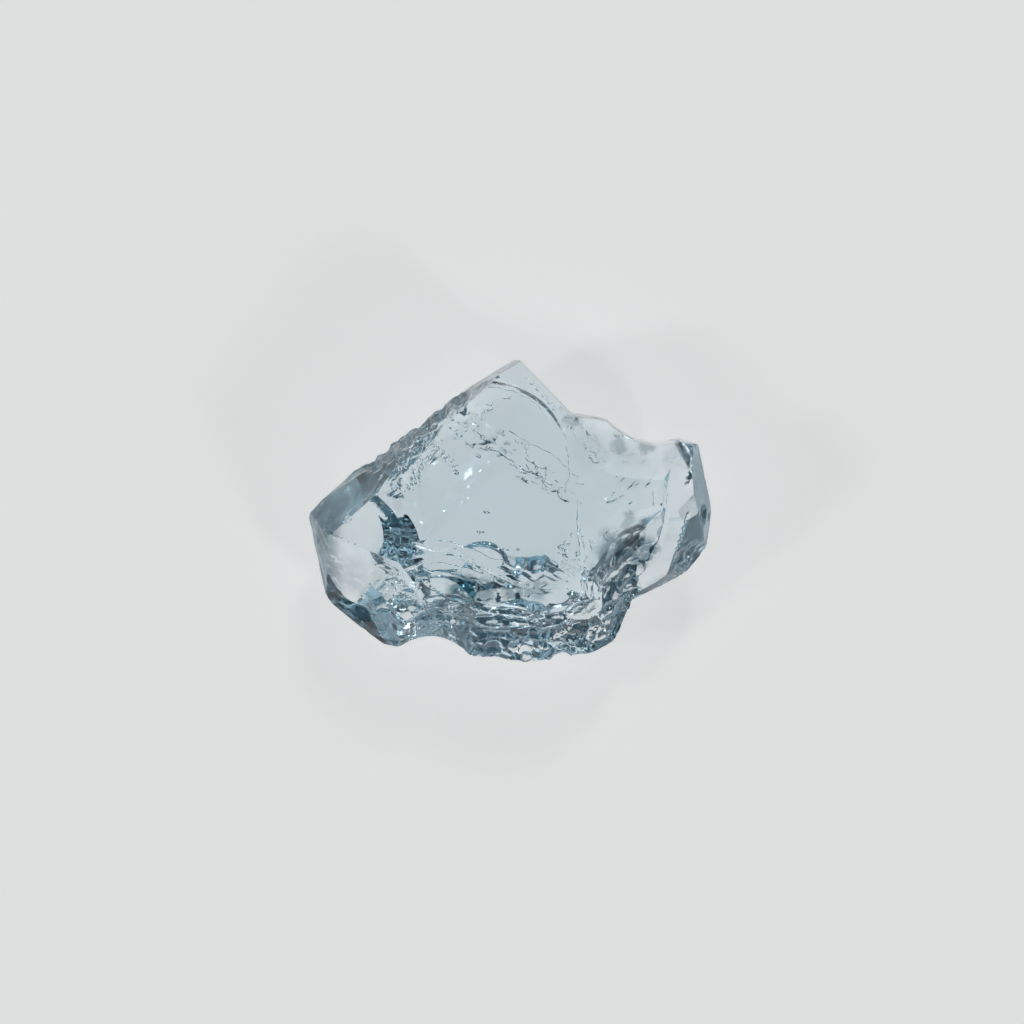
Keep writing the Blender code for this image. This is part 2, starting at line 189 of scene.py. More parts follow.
# ---- fine relief ---------------------------------------------------------------------------------
# Hackly patches: cell size, stretch, direction (azimuth of the long side), depth, tilt of the cells,
# side (1 seen from above, -1 underside, 0 both), then the patches as x, y, z, radius, strength
HACKLES = (
    (0.95, 1.2, 40, 0.220, 0.70, 1, (
        (4.3, -5.3, 4.8, 1.9, 1.0), (3.0, -4.6, 5.8, 1.2, 0.9), (5.6, -4.2, 4.6, 1.3, 0.9),
        (-7.0, -4.4, 4.8, 1.8, 0.6))),
    (0.46, 1.0, 0, 0.130, 0.75, 1, (
        (4.8, -6.0, 4.3, 1.3, 1.0), (3.2, -6.6, 4.2, 1.2, 0.9), (-4.7, -5.1, 5.0, 0.9, 1.0),
        (9.0, -2.4, 4.5, 1.0, 0.9), (0.6, -7.2, 3.8, 1.0, 0.8), (6.1, -1.6, 5.6, 0.8, 0.5))),
    (0.36, 1.6, 40, 0.120, 0.50, 1, (
        (-3.9, 4.4, 6.2, 0.9, 1.0), (-2.6, 5.5, 6.4, 0.8, 1.0), (-1.7, 6.2, 6.3, 0.6, 0.9),
        (-5.2, 3.6, 5.4, 0.8, 0.9), (8.6, 3.4, 4.6, 0.7, 0.8))),
    (0.28, 4.0, 122, 0.160, 0.30, 1, (
        (-5.0, 1.6, 7.3, 0.9, 1.0), (-4.5, 2.6, 7.4, 0.6, 0.9), (-3.9, 3.4, 7.2, 0.6, 0.9))),
    (0.34, 3.0, 150, 0.150, 0.30, 1, ((3.0, -3.2, 6.9, 0.9, 1.0), (-1.8, 4.3, 7.5, 0.6, 0.8))),
    (0.30, 3.5, 147, 0.240, 0.50, -1, (
        (0.9, 2.0, 0, 0.7, 1.0), (1.9, 1.4, 0, 0.6, 1.0), (2.7, 0.8, 0, 0.5, 0.9))),
    (0.30, 3.5, 147, 0.070, 0.45, -1, (
        (-2.9, 4.3, 0, 0.8, 0.9), (-1.6, 3.7, 0, 0.7, 1.0), (-0.5, 2.9, 0, 0.6, 1.0))),
    (0.90, 1.6, 20, 0.220, 0.40, -1, (
        (-7.6, -3.4, 0, 1.6, 0.9), (-5.6, -3.2, 0, 1.3, 0.8), (-6.4, -4.8, 0, 1.4, 0.9))),
    (0.50, 1.5, 40, 0.130, 0.50, 1, (
        (-7.6, 2.1, 3.6, 0.9, 0.8), (-6.2, 3.1, 3.5, 0.9, 0.9), (-4.9, 4.2, 3.3, 0.8, 1.0),
        (-3.6, 5.1, 3.0, 0.8, 1.0), (-2.4, 6.1, 2.6, 0.7, 1.0), (-1.4, 6.8, 2.0, 0.5, 0.8))),
    (0.28, 3.0, 62, 0.150, 0.40, -1, (
        (-5.3, 1.3, 0, 0.6, 0.9), (-4.8, 2.2, 0, 0.6, 0.9), (-4.2, 3.0, 0, 0.6, 0.8))),
    (0.42, 4.0, 14, 0.120, 0.45, 1, (
        (-2.6, -5.2, 5.2, 1.5, 0.9), (-0.4, -5.4, 5.2, 1.7, 0.9))),
    (0.42, 3.5, -32, 0.120, 0.50, 1, (
        (1.9, -5.7, 4.8, 1.6, 1.0), (-5.6, -3.4, 5.9, 1.3, 0.7))),
    (0.55, 2.5, 50, 0.130, 0.50, 1, (
        (5.4, -2.6, 5.0, 1.6, 0.8), (6.4, -2.2, 4.9, 1.0, 0.8))),
    (0.42, 1.3, 37, 0.380, 0.50, 0, (
        (-6.9, 2.2, 0, 0.45, 1.0), (-6.2, 2.7, 0, 0.45, 1.0), (-5.3, 3.4, 0, 0.45, 1.0),
        (-4.4, 4.05, 0, 0.45, 1.0), (-3.5, 4.75, 0, 0.45, 1.0), (-2.6, 5.4, 0, 0.45, 1.0))),
    (1.60, 1.4, 30, 0.080, 0.15, -1, (
        (-8.0, -2.0, 0, 2.2, 0.7), (-5.0, -4.5, 0, 2.4, 0.8), (2.5, -6.0, 0, 2.9, 0.9),
        (7.5, -2.5, 0, 2.6, 0.5))),
)

CELL_BOWL = 1.2            # how deep the bowl of a cell is for its size
CELLS_PER_POINT = 0.0055   # cells of 1 square mm for each point of the mesh inside a patch

# Grooves and steps drawn over it: side (1 top, -1 underside), groove depth, half width,
# step height, reach of the step, points
LINES = (
    (1, 0.170, 0.06, 0.060, 0.4, ((-5.05, -1.65), (-4.05, -2.0), (-2.8, -2.15), (-1.8, -2.75), (0.0, -3.6),
                                  (1.4, -4.05), (2.3, -4.1))),
    (1, 0.150, 0.06, 0.050, 0.4, ((-3.55, -5.1), (-1.95, -4.6), (-1.55, -4.2), (-0.55, -4.05), (0.7, -4.05),
                                  (1.95, -4.15))),
    (1, 0.135, 0.05, 0.000, 0.0, ((-9.55, -0.65), (-8.7, -1.35), (-7.55, -1.85))),
    (1, 0.105, 0.05, 0.000, 0.0, ((-6.8, 0.3), (-6.05, -0.6))),
    (1, 0.150, 0.05, 0.088, 0.6, ((-3.95, 3.2), (-3.2, 2.7), (-2.55, 2.05))),
    (1, 0.135, 0.05, 0.000, 0.0, ((-6.2, 2.9), (-5.05, 1.8))),
    (1, 0.135, 0.05, 0.088, 0.5, ((-7.3, -3.8), (-5.8, -3.35), (-4.7, -2.85), (-4.05, -2.45))),
    (1, 0.105, 0.05, 0.000, 0.0, ((-5.7, -3.95), (-4.8, -4.7))),
    (1, 0.105, 0.05, 0.000, 0.0, ((-4.3, -3.6), (-3.05, -4.6))),
    (1, 0.170, 0.06, 0.000, 0.0, ((4.7, -3.75), (5.7, -2.8), (6.6, -2.1), (7.1, -1.7))),
    (1, 0.150, 0.05, 0.000, 0.0, ((5.7, -2.8), (6.6, -2.6), (7.2, -2.9))),
    (1, 0.170, 0.06, 0.000, 0.0, ((7.8, 0.8), (7.55, -1.2), (7.1, -2.6), (6.4, -4.2))),
    (1, 0.150, 0.05, 0.000, 0.0, ((8.75, -0.2), (8.45, -1.4), (8.25, -2.2))),
    (1, 0.120, 0.05, 0.000, 0.0, ((8.95, 2.9), (8.95, 2.0), (8.65, 1.0))),
    (1, 0.170, 0.06, 0.080, 0.5, ((2.3, 5.0), (2.9, 4.5), (3.5, 4.3), (3.9, 3.6), (3.7, 2.9))),
    (1, 0.150, 0.05, 0.000, 0.0, ((2.6, 4.1), (3.1, 3.9), (3.3, 3.4))),
    (1, 0.150, 0.05, 0.000, 0.0, ((0.6, 6.6), (1.5, 5.7), (2.3, 4.7))),
    (-1, 0.090, 0.06, 0.000, 0.0, ((-5.0, -1.55), (-4.1, -1.6), (-2.9, -1.75), (-1.7, -2.2), (-0.3, -2.85),
                                   (1.3, -3.5), (2.6, -3.75), (3.5, -3.8))),
    (-1, 0.080, 0.05, 0.000, 0.0, ((-4.6, -2.1), (-3.3, -2.2), (-2.0, -2.7), (-0.9, -3.2))),
    (-1, 0.100, 0.06, 0.000, 0.0, ((-2.3, -4.6), (-1.2, -4.15), (-0.2, -3.9), (0.9, -3.85), (2.2, -4.0))),
    (-1, 0.070, 0.05, 0.000, 0.0, ((3.2, 0.8), (3.2, -0.9), (3.35, -2.2), (3.6, -3.4))),
    (-1, 0.060, 0.05, 0.000, 0.0, ((3.6, -3.4), (3.0, -2.6), (2.4, -2.3))),
    (-1, 0.060, 0.05, 0.000, 0.0, ((3.7, -3.4), (4.0, -2.4))),
    (-1, 0.060, 0.05, 0.000, 0.0, ((-1.95, 6.3), (-1.0, 6.1), (-0.1, 5.9), (1.1, 5.3), (1.8, 4.4))),
    (-1, 0.080, 0.06, 0.000, 0.0, ((-0.4, 4.0), (0.9, 3.2), (2.0, 2.7), (2.8, 1.9))),
    (-1, 0.080, 0.06, 0.000, 0.0, ((-1.1, 3.1), (0.0, 2.3), (0.5, 1.6), (1.5, 1.05), (2.5, 0.8))),
    (-1, 0.090, 0.07, 0.000, 0.0, ((-3.3, 2.5), (-2.9, 2.15), (-2.6, 1.7))),
    (-1, 0.000, 0.60, 0.380, 3.0, ((-4.2, -3.2), (-2.6, -3.05), (-1.0, -3.1), (0.6, -3.1), (2.6, -3.0))),
    (-1, 0.160, 0.20, 0.000, 0.0, ((-3.6, -3.9), (-3.0, -4.2), (-2.6, -4.5))),
    (-1, 0.060, 0.05, 0.000, 0.0, ((2.3, 4.3), (2.6, 3.3), (2.75, 2.5), (2.8, 1.4), (3.0, 0.3))),
    (-1, 0.080, 0.06, 0.000, 0.0, ((2.3, 4.3), (2.8, 4.7), (3.5, 4.75), (4.1, 4.3), (3.9, 3.3), (4.5, 2.4),
                                   (5.5, 1.95), (6.7, 2.2))),
    (-1, 0.160, 0.14, 0.000, 0.0, ((5.0, 3.1), (5.5, 3.15), (6.1, 3.3))),
    (-1, 0.170, 0.16, 0.000, 0.0, ((6.5, 3.4), (7.0, 3.3), (7.5, 3.2))),
    (-1, 0.060, 0.05, 0.000, 0.0, ((7.0, 0.9), (7.2, -0.4), (6.9, -1.6), (6.3, -2.8))),
)

# Scattered hairs: x, y, spread, direction in degrees, count, side
HAIRS = (
    (-2.6, 4.2, 0.6, -35, 9, -1), (-1.2, 3.4, 0.6, -35, 9, -1), (0.2, 2.6, 0.6, -35, 9, -1),
    (1.5, 1.6, 0.6, -38, 8, -1), (2.6, 0.9, 0.6, -30, 8, -1), (-5.2, 1.4, 0.4, 62, 10, -1),
    (-4.7, 2.3, 0.4, 62, 8, -1), (-4.2, 3.0, 0.4, 66, 8, -1), (3.0, -1.8, 0.6, -70, 7, -1),
    (2.4, -2.7, 0.7, -25, 8, -1), (5.4, 0.6, 0.9, 20, 8, -1), (6.4, 1.4, 0.8, 40, 5, -1),
    (-7.6, 0.5, 0.8, 36, 8, 1), (-5.4, 2.5, 0.6, 36, 6, 1), (-6.6, -4.4, 0.9, 15, 8, 1),
    (-0.8, -1.2, 1.6, -10, 5, -1), (-1.4, 5.0, 0.7, -10, 5, -1),
)
HAIR_LENGTH = (0.15, 0.65)
HAIR_DEPTH = (0.05, 0.11)

# ---- colour ----------------------------------------------------------------------------------------
CLEAR = (1.0, 1.0, 1.0, 1.0)
IOR = 1.577
ABSORBED = (0.72, 0.90, 0.97, 1.0)
DENSITY = 100.0
# Grain of the skin: its scale per metre, the range that makes blotches, and its relief in metres
GRAIN_SCALE = 2500.0
GRAIN_DETAIL = 5.0
GRAIN_BLOTCH = (0.25, 0.50)
BUMP_HEIGHT = 0.000006
# How satin the skin is at each share of the height, under the rim and over it
SATIN_UNDER = ((0.02, 0.0), (0.08, 0.10), (0.36, 0.10), (0.42, 0.0))
SATIN_OVER = ((0.42, 0.0), (0.50, 0.40), (0.84, 0.40), (0.92, 0.0))
SATIN_FRONT = (-0.0042, -0.0016)       # metres along Y, where the satin over the rim sets in
# Darker tint at the left end, and painted shade along the back left over its dark bevel
DARK_TINT = (0.21, 0.27, 0.29, 1.0)
DARK_TINT_LEFT = (-0.0079, -0.0089)         # metres along X, where it sets in
PAINTED_SHADE_BACK = (0.0052, 0.0058)           # metres towards the back left, where it sets in
PAINTED_SHADE_BACK_WAY = (-0.69, 0.72, 0.0)
PAINTED_SHADE_BACK_SHARE = 0.90
# Painted shade over the scoop, the front, the left and the wing: x, y and radius in metres, strength
SHADE = (0.02, 0.10, 0.145, 1.0)
SHADES = (
    (0.0050, -0.0020, 0.0013, 0.90), (0.0066, -0.0020, 0.0010, 0.90), (0.0058, -0.0006, 0.0006, 0.60),
    (0.0043, -0.0031, 0.0008, 0.50), (-0.0023, -0.0041, 0.0012, 1.00), (-0.0011, -0.0039, 0.0009, 0.80),
    (0.0002, -0.0039, 0.0008, 0.80), (0.0013, -0.0039, 0.0008, 0.70), (-0.0034, -0.0047, 0.0005, 0.80),
    (-0.0079, -0.0032, 0.0013, 0.35), (-0.0066, -0.0040, 0.0013, 0.35), (-0.0062, -0.0029, 0.0009, 0.40),
    (0.0031, 0.0043, 0.0006, 0.60), (0.0054, 0.0031, 0.0006, 0.70), (0.0067, 0.0032, 0.0006, 0.70),
    (0.0040, 0.0030, 0.0014, 0.20), (0.0060, 0.0020, 0.0014, 0.20), (0.0080, 0.0026, 0.0009, 0.30),
)
SHADE_WARP = 0.0010                    # metres
SHADE_WAVES = 900.0                    # per metre, of the noise that warps them
SHADE_BASE = (0.42, 0.52)              # share of the height over which they set in

# ---- stage, in metres ------------------------------------------------------------------------------
FLOOR_HALF = 1.0
FLOOR_GAP = 0.00008
FLOOR_COLOUR = 0.80
FLOOR_GLOW = 0.565
SKY_LOW = (0.066, 0.114, 0.146, 1)
SKY_TOP = (0.016, 0.016, 0.016, 1)
SKY_TOP_AT = 0.6           # share of the way up at which the sky is at its darkest
LIGHTS = (
    ("soft_left", (-0.27, -0.06, 0.20)),
    ("soft_right", (0.20, -0.20, 0.20)),
    ("soft_back", (0.05, 0.26, 0.22)),
)
LIGHT_SIZE = 0.06
LIGHT_WATTS = 0.12
PIXELS_PER_MM = 20.0       # scale of the picture at eye level
PICTURE_WIDTH = 1024       # pixels
CAMERA_LENS = 100.0
SENSOR = 36.0
EYE_LEVEL = 0.0038
EYE_SHIFT = (0.00010, -0.000095)
BOUNCES = 9


class Surface:
    """One fracture surface: a plane through `at`, hollowed along and across its slope."""

    def __init__(self, name, at, azimuth, tilt, along, across, lobe):
        a = radians(azimuth)
        t = radians(tilt)
        self.name = name
        self.lobe = lobe
        self.at = np.array(at, float) - CORE
        self.normal = np.array((sin(t) * cos(a), sin(t) * sin(a), cos(t)))
        level = np.array((-sin(a), cos(a), 0.0))
        slope = np.cross(self.normal, level)
        self.bend = bend(along) * np.outer(level, level) + bend(across) * np.outer(slope, slope)


def bend(radius):
    """Curvature of a radius, where 0 stands for flat."""
    return 1.0 / radius if radius else 0.0


def rim_surfaces():
    """The bevels over and under every stretch of the rim."""
    made = []
    for name, start, end, height, over, under, hollow, lobe in RIM:
        azimuth = degrees(atan2(end[0] - start[0], start[1] - end[1]))
        middle = ((start[0] + end[0]) / 2, (start[1] + end[1]) / 2, height)
        made.append(Surface(name + "_over", middle, azimuth, over, hollow, 0, lobe))
        made.append(Surface(name + "_under", middle, azimuth, 180 - under, 0, 0, lobe))
    return made


def bite_surfaces():
    """Two hollow bevels for every bite."""
    made = []
    for at, azimuth, over, under, radius, lobe in BITES:
        made.append(Surface("bite_over", at, azimuth, over, radius, 0, lobe))
        made.append(Surface("bite_under", at, azimuth, 180 - under, radius, 0, lobe))
    return made


def nick_surfaces(body):
    """Small scoops scattered along the rim of the body."""
    rng = np.random.default_rng(SEED)
    made = []
    for step in range(NICKS):
        turn = 2 * pi * (step + rng.uniform(0, 0.8)) / NICKS
        height = rng.uniform(*NICK_HEIGHT)
        ray = unit(np.array([[cos(turn) * SPREAD[0], sin(turn) * SPREAD[1], height - CORE[2]]]))
        reach, owner = solve(body, ray)
        outward = body[owner[0]].normal
        facing = degrees(atan2(outward[1], outward[0])) + rng.uniform(-20, 20)
        tilt = degrees(acos(outward[2])) + rng.uniform(-16, 16)
        radius = rng.uniform(*NICK_RADIUS)
        at = CORE + ray[0] * (reach[0] - rng.uniform(*NICK_DEPTH))
        made.append(Surface("nick", at, facing, tilt, radius, radius, LOBES))
    return made


def all_surfaces():
    body = [Surface(*row) for row in FLATS] + rim_surfaces() + bite_surfaces()
    chips = [Surface("chip", *row, LOBES) for row in CHIPS]
    return body + chips + nick_surfaces(body)


def unit(vectors):
    return vectors / np.linalg.norm(vectors, axis=-1, keepdims=True)


def ripple(offset, spacing):
    """A soft saw-edged wave that wavers and fades from place to place."""
    x, y, z = offset.T
    distance = np.linalg.norm(offset, axis=1) / spacing
    waver = 0.3 * np.sin(1.3 * distance) + 0.16 * np.sin(1.9 * x) + 0.13 * np.sin(2.7 * y + z)
    turn = 2 * pi * (distance + waver)
    strength = 0.55 + 0.45 * np.sin(1.1 * x + 0.6) * np.sin(1.4 * y - 0.5 * z)
    return strength * np.sin(turn + 0.7 * np.sin(turn))


def reaches(surfaces, rays):
    """How far each ray runs from the core to each surface."""
    normal = np.array([s.normal for s in surfaces])
    at = np.array([s.at for s in surfaces])
    bends = np.array([s.bend for s in surfaces])
    bent_at = np.einsum("fij,fj->fi", bends, at)
    facing = rays @ normal.T
    a = 0.5 * np.einsum("fij,vi,vj->vf", bends, rays, rays, optimize=True)
    b = -(rays @ bent_at.T) - facing
    c = (0.5 * np.einsum("fi,fi->f", at, bent_at) + np.einsum("fi,fi->f", normal, at))[None, :]
    square = b * b - 4 * a * c
    below = np.sqrt(np.maximum(square, 0)) - b
    missed = (square < 0) | (below <= 1e-9) | (c <= 0)
    reach = 2 * c / np.where(missed, 1.0, below)
    reach[missed] = 1000.0
    for name, strike, spacing, height in RIPPLES:
        for column, surface in enumerate(surfaces):
            if surface.name == name:
                near = np.minimum(reach[:, column], 30.0)
                offset = rays * near[:, None] + CORE - np.array(strike)
                wave = height * ripple(offset, spacing)
                reach[:, column] += wave / np.maximum(facing[:, column], 0.4)
    return reach


def solve(surfaces, rays):
    """Distance to the body's skin along each ray, and the surface that it lies on."""
    reach = reaches(surfaces, rays)
    rows = np.arange(len(rays))
    best = np.full(len(rays), -1.0)
    label = np.zeros(len(rays), int)
    for lobe in LOBES:
        bounding = np.array([lobe in s.lobe for s in surfaces])
        inside = np.where(bounding[None, :], reach, 1000.0)
        first = inside.argmin(1)
        low = inside[rows, first]
        farther = low > best
        label = np.where(farther, first, label)
        best = np.where(farther, low, best)
    return best, label


def snap_to_ridges(surfaces, rays, tris):
    """Moves the ray nearest to each ridge onto it, so ridges come out sharp."""
    label = solve(surfaces, rays)[1]
    sides = np.concatenate([tris[:, [0, 1]], tris[:, [1, 2]], tris[:, [2, 0]]])
    edges = np.unique(np.sort(sides, axis=1), axis=0)
    mixed = edges[label[edges[:, 0]] != label[edges[:, 1]]]
    start = rays[mixed[:, 0]]
    end = rays[mixed[:, 1]]
    low = np.zeros(len(mixed))
    high = np.ones(len(mixed))
    for _ in range(12):
        middle = (low + high) / 2
        same = solve(surfaces, unit(start + (end - start) * middle[:, None]))[1] == label[mixed[:, 0]]
        low = np.where(same, middle, low)
        high = np.where(same, high, middle)
    share = (low + high) / 2
    ridge = unit(start + (end - start) * share[:, None])
    nearest = np.where(share < 0.5, mixed[:, 0], mixed[:, 1])
    order = np.argsort(-np.minimum(share, 1 - share))
    moved = rays.copy()
    moved[nearest[order]] = ridge[order]
    return moved


# ---- the fine skin ----------------------------------------------------------------------------------
def solve_all(surfaces, rays, step=40000):
    """solve() in pieces, to keep the memory small."""
    parts = [solve(surfaces, rays[i:i + step]) for i in range(0, len(rays), step)]
    return np.concatenate([p[0] for p in parts]), np.concatenate([p[1] for p in parts])


def normals_of(points, tris):
    cross = np.cross(points[tris[:, 1]] - points[tris[:, 0]], points[tris[:, 2]] - points[tris[:, 0]])
    total = np.zeros_like(points)
    for corner in range(3):
        np.add.at(total, tris[:, corner], cross)
    return unit(total)


def patch_mask(points, normals, side, patches):
    """Strength of a patch at each point; only the ones on top go by their height as well."""
    mask = np.zeros(len(points))
    weight = np.array((1.0, 1.0, 1.0 if side > 0 else 0.0))
    for x, y, z, radius, strength in patches:
        away = np.linalg.norm((points - np.array((x, y, z))) * weight, axis=1) / radius
        mask = np.maximum(mask, strength * np.exp(-away ** 4))
    return mask * np.clip(side * normals[:, 2] * 4 + 0.6, 0, 1)


def cell_heights(points, size, seeds, raised, lean):
    """Height over the bottoms of the bowls, where the lowest of the nearest bowls counts."""
    tree = KDTree(len(seeds))
    for index, seed in enumerate(seeds):
        tree.insert(seed, index)
    tree.balance()
    height = np.empty(len(points))
    bowl = CELL_BOWL / (size * size)
    for row_index, point in enumerate(points.tolist()):
        best = 9.0
        for seed, index, distance in tree.find_n(point, 4):
            value = bowl * distance * distance + raised[index]
            value += (lean[index, 0] * (point[0] - seed[0]) + lean[index, 1] * (point[1] - seed[1])) / size
            if value < best:
                best = value
        height[row_index] = best
    return height


def hackle(points, normals, row, rng):
    """Bowl-shaped cells that meet in sharp ridges, pressed into the surface."""
    size, stretch, turn, depth, tilt, side, patches = row
    mask = patch_mask(points, normals, side, patches)
    inside = np.nonzero(mask > 0.03)[0]
    sunk = np.zeros(len(points))
    if len(inside) == 0:
        return sunk
    a = radians(turn)
    along = np.array((cos(a), sin(a), 0.0))
    local = points[inside]
    squeezed = local - np.outer(local @ along, along) * (1 - 1 / stretch)
    count = max(8, int(len(inside) * CELLS_PER_POINT / (size * size * stretch)))
    chosen = rng.choice(len(inside), count, replace=False)
    seeds = squeezed[chosen] + rng.uniform(-0.3, 0.3, (count, 3)) * size
    raised = rng.uniform(0, 0.35, count)
    lean = rng.normal(0, tilt, (count, 3))
    height = cell_heights(squeezed, size, seeds, raised, lean)
    sunk[inside] = depth * mask[inside] * (np.clip(height, -0.6, 1.4) - 1.0)
    return sunk


def distance_to(line, flat):
    """Distance from each level point to a drawn line."""
    nearest = np.full(len(flat), 1e3)
    for start, end in zip(line[:-1], line[1:]):
        length = np.linalg.norm(end - start)
        way = (end - start) / length
        offset = flat - start
        share = np.clip(offset @ way, 0, length)
        nearest = np.minimum(nearest, np.linalg.norm(offset - np.outer(share, way), axis=1))
    return nearest


def line_relief(points, normals, row):
    """A groove along a drawn line, and a step down on its right-hand side."""
    side, depth, half, step, fade, line = row
    line = np.array(line)
    flat = points[:, :2]
    nearest = np.full(len(points), 1e3)
    hand = np.ones(len(points))
    along = np.zeros(len(points))
    lengths = np.linalg.norm(np.diff(line, axis=0), axis=1)
    total = lengths.sum()
    run = 0.0
    for start, end, length in zip(line[:-1], line[1:], lengths):
        way = (end - start) / length
        offset = flat - start
        share = np.clip(offset @ way, 0, length)
        gap = np.linalg.norm(offset - np.outer(share, way), axis=1)
        closer = gap < nearest
        nearest = np.where(closer, gap, nearest)
        hand = np.where(closer, np.sign(way[0] * offset[:, 1] - way[1] * offset[:, 0]), hand)
        along = np.where(closer, (run + share) / total, along)
        run += length
    taper = np.clip(np.minimum(along, 1 - along) * 8, 0, 1) * (0.7 + 0.3 * np.sin(along * 37))
    groove = depth * np.exp(-(nearest / half) ** 2)
    fall = 0.0
    if step:
        fall = step * np.clip(0.5 - hand * nearest / (2 * half), 0, 1) * np.exp(-nearest / fade)
    return -(groove + fall) * taper * np.clip(side * normals[:, 2] * 3, 0, 1)


def hair_rows():
    """Short straight scratches, gathered where the skin is hackly, as rows like those of LINES."""
    rng = np.random.default_rng(SEED + 2)
    made = []
    for x, y, spread, turn, count, side in HAIRS:
        for _ in range(count):
            start = np.array((x, y)) + rng.normal(0, spread, 2) * 0.8
            way = radians(turn + rng.normal(0, 14))
            end = start + rng.uniform(*HAIR_LENGTH) * np.array((cos(way), sin(way)))
            made.append((side, rng.uniform(*HAIR_DEPTH), 0.05, 0, 0, (start, end)))
    return made


def drawn_relief(points, normals):
    """All the drawn lines and hairs together."""
    total = np.zeros(len(points))
    for row in list(LINES) + hair_rows():
        reach = 0.15 + 3 * row[2] + 4 * row[4]
        near = distance_to(np.array(row[5]), points[:, :2]) < reach
        near = np.nonzero(near & (row[0] * normals[:, 2] > 0))[0]
        if len(near):
            total[near] += line_relief(points[near], normals[near], row)
    return total


def waviness(points):
    """Slow, very shallow unevenness of a broken face."""
    x, y, z = points.T
    slow = np.sin(0.9 * x + 1.3 * np.sin(0.7 * y) + z) * np.sin(1.1 * y - 0.6 * z)
    quick = np.sin(2.9 * x - 1.7 * y + 2.1 * z + 1.5 * np.sin(1.1 * y)) * np.sin(2.3 * y + 1.9 * z + 0.8 * x)
    return 0.007 * slow + 0.002 * quick


def sphere():
    ball = bmesh.new()
    bmesh.ops.create_icosphere(ball, subdivisions=SUBDIVISIONS, radius=1.0)
    points = np.array([v.co[:] for v in ball.verts])
    tris = np.array([[v.index for v in f.verts] for f in ball.faces])
    ball.free()
    return points, tris


def wanted_edge(points, normals):
    """Longest edge wanted at each point: short where there is fine relief."""
    wanted = np.full(len(points), PLAIN_EDGE)
    for size, _, _, _, _, side, patches in HACKLES:
        cells = patch_mask(points, normals, side, patches) > 0.1
        wanted[cells] = np.minimum(wanted[cells], max(size * CELL_SHARE, LINE_EDGE))
    for row in list(LINES) + hair_rows():
        away = np.maximum(distance_to(np.array(row[5]), points[:, :2]) - LINE_REACH, 0)
        finest = max(LINE_EDGE, 0.4 * row[2])
        graded = np.where(row[0] * normals[:, 2] > 0.2, finest + 1.2 * away, PLAIN_EDGE)
        wanted = np.minimum(wanted, graded)
    return wanted


def refine(surfaces, rays, tris):
    """Splits every edge that is longer than wanted, until none is."""
    for _ in range(REFINEMENTS):
        skin = rays * solve_all(surfaces, rays)[0][:, None] + CORE
        wanted = wanted_edge(skin, normals_of(skin, tris))
        sides = np.sort(np.concatenate([tris[:, [0, 1]], tris[:, [1, 2]], tris[:, [2, 0]]]), axis=1)
        edges, place = np.unique(sides, axis=0, return_inverse=True)
        length = np.linalg.norm(skin[edges[:, 0]] - skin[edges[:, 1]], axis=1)
        long = length > np.minimum(wanted[edges[:, 0]], wanted[edges[:, 1]])
        if not long.any():
            break
        added = np.full(len(edges), -1)
        added[long] = len(rays) + np.arange(long.sum())
        rays = np.concatenate([rays, unit(rays[edges[long, 0]] + rays[edges[long, 1]])])
        tris = split(tris, added[place.reshape(3, -1)].T)
    return rays, tris


def split(tris, middles):
    """Triangles after their sides are split: middles holds the new corner of each side, or -1."""
    made = []
    count = (middles >= 0).sum(1)
    made.append(tris[count == 0])
    for first in range(3):
        a, b, c = tris[:, first], tris[:, (first + 1) % 3], tris[:, (first + 2) % 3]
        ab, bc, ca = middles[:, first], middles[:, (first + 1) % 3], middles[:, (first + 2) % 3]
        one = (count == 1) & (ab >= 0)
        made.append(np.stack([a, ab, c], 1)[one])
        made.append(np.stack([ab, b, c], 1)[one])
        two = (count == 2) & (ca < 0)
        made.append(np.stack([ab, b, bc], 1)[two])
        made.append(np.stack([a, ab, bc], 1)[two])
        made.append(np.stack([a, bc, c], 1)[two])
    whole = count == 3
    a, b, c = tris[whole].T
    ab, bc, ca = middles[whole].T
    made += [np.stack(corners, 1) for corners in ((a, ab, ca), (ab, b, bc), (ca, bc, c), (ab, bc, ca))]
    return np.concatenate(made)


def fine_skin():
    surfaces = all_surfaces()
    points, tris = sphere()
    rays, tris = refine(surfaces, unit(unit(points) * SPREAD), tris)
    rays = snap_to_ridges(surfaces, rays, tris)
    reach, label = solve_all(surfaces, rays)
    skin = rays * reach[:, None] + CORE
    low = skin.min(0)
    high = skin.max(0)
    normals = normals_of(skin, tris)
    rng = np.random.default_rng(SEED + 1)
    resting = label == [s.name for s in surfaces].index("rest")
    relief = np.where(resting, 0.0, waviness(skin))
    for row in HACKLES:
        relief += hackle(skin, normals, row, rng)
    relief += drawn_relief(skin, normals)
    relief = np.where(resting, np.minimum(relief, 0.0), relief)
    facing = np.maximum(np.einsum("ij,ij->i", rays, normals), 0.45)
    skin = rays * (reach + relief / facing)[:, None] + CORE
    middle = np.array(((low[0] + high[0]) / 2, (low[1] + high[1]) / 2, low[2]))
    size = (np.array(cad_high) - np.array(cad_low))
    placed = (skin - middle) * size / (high - low)
    placed[:, 2] = np.maximum(placed[:, 2], 0.0)
    return placed, tris


def crystal_mesh():
    skin, tris = fine_skin()
    mesh = bpy.data.meshes.new("crystal_fine")
    mesh.vertices.add(len(skin))
    mesh.vertices.foreach_set("co", skin.ravel())
    mesh.loops.add(len(tris) * 3)
    mesh.loops.foreach_set("vertex_index", tris.ravel())
    mesh.polygons.add(len(tris))
    mesh.polygons.foreach_set("loop_start", np.arange(0, len(tris) * 3, 3))
    mesh.update(calc_edges=True)
    mesh.validate()
    return mesh


